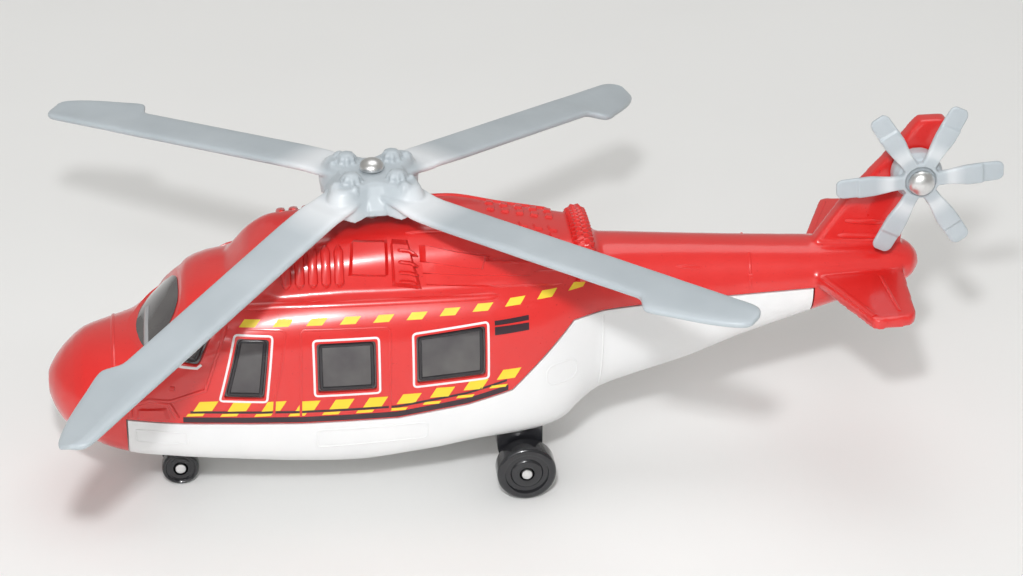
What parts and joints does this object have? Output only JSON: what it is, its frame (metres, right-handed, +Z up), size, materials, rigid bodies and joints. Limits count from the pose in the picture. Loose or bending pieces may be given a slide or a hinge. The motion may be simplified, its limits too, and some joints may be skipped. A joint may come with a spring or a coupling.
{
  "type": "toy helicopter",
  "caption": "Small die-cast style toy transport helicopter on a plastic base, with free-spinning main rotor, tail rotor and undercarriage wheels.",
  "frame": {"origin": "on the ground under the middle of the overall box", "axes": "nose towards -X, tail towards +X, port side towards -Y, +Z up"},
  "size_m": [0.1304, 0.0884, 0.0534],
  "materials": {
    "red_enamel": "glossy red enamel over a zinc casting",
    "white_plastic": "smooth white moulded plastic",
    "smoke_glazing": "dark smoke tinted moulded glazing, glossy",
    "grey_plastic": "soft satin light grey plastic",
    "black_plastic": "black moulded plastic, half gloss",
    "bright_steel": "bright rivet steel"
  },
  "bodies": {
    "fuselage": {"body_casting": "red_enamel", "base_shell": "white_plastic", "main_gear_beam": "black_plastic", "nose_gear_leg": "black_plastic", "window_insert": "smoke_glazing", "main_rotor_rivet": "bright_steel", "tail_rotor_rivet": "bright_steel", "main_axle": "bright_steel", "nose_axle": "bright_steel"},
    "main_rotor": {"main_rotor": "grey_plastic"},
    "tail_rotor": {"tail_rotor": "grey_plastic"},
    "main_wheel_port": {"main_wheel_port": "black_plastic"},
    "main_wheel_starboard": {"main_wheel_starboard": "black_plastic"},
    "nose_wheel_port": {"nose_wheel_port": "black_plastic"},
    "nose_wheel_starboard": {"nose_wheel_starboard": "black_plastic"}
  },
  "joints": [
    {"name": "main_rotor_spin", "type": "hinge", "parent": "fuselage", "child": "main_rotor", "pos_m": [-0.0204, 0, 0.0439], "axis": [0, 0, 1], "continuous": true},
    {"name": "tail_rotor_spin", "type": "hinge", "parent": "fuselage", "child": "tail_rotor", "pos_m": [0.0536, -0.005, 0.0426], "axis": [0, 1, 0], "continuous": true},
    {"name": "main_wheel_port_spin", "type": "hinge", "parent": "fuselage", "child": "main_wheel_port", "pos_m": [-0.0007, -0.01085, 0.0041], "axis": [0, 1, 0], "continuous": true},
    {"name": "main_wheel_starboard_spin", "type": "hinge", "parent": "fuselage", "child": "main_wheel_starboard", "pos_m": [-0.0007, 0.01085, 0.0041], "axis": [0, 1, 0], "continuous": true},
    {"name": "nose_wheel_port_spin", "type": "hinge", "parent": "fuselage", "child": "nose_wheel_port", "pos_m": [-0.048, -0.00225, 0.00255], "axis": [0, 1, 0], "continuous": true},
    {"name": "nose_wheel_starboard_spin", "type": "hinge", "parent": "fuselage", "child": "nose_wheel_starboard", "pos_m": [-0.048, 0.00225, 0.00255], "axis": [0, 1, 0], "continuous": true}
  ]
}
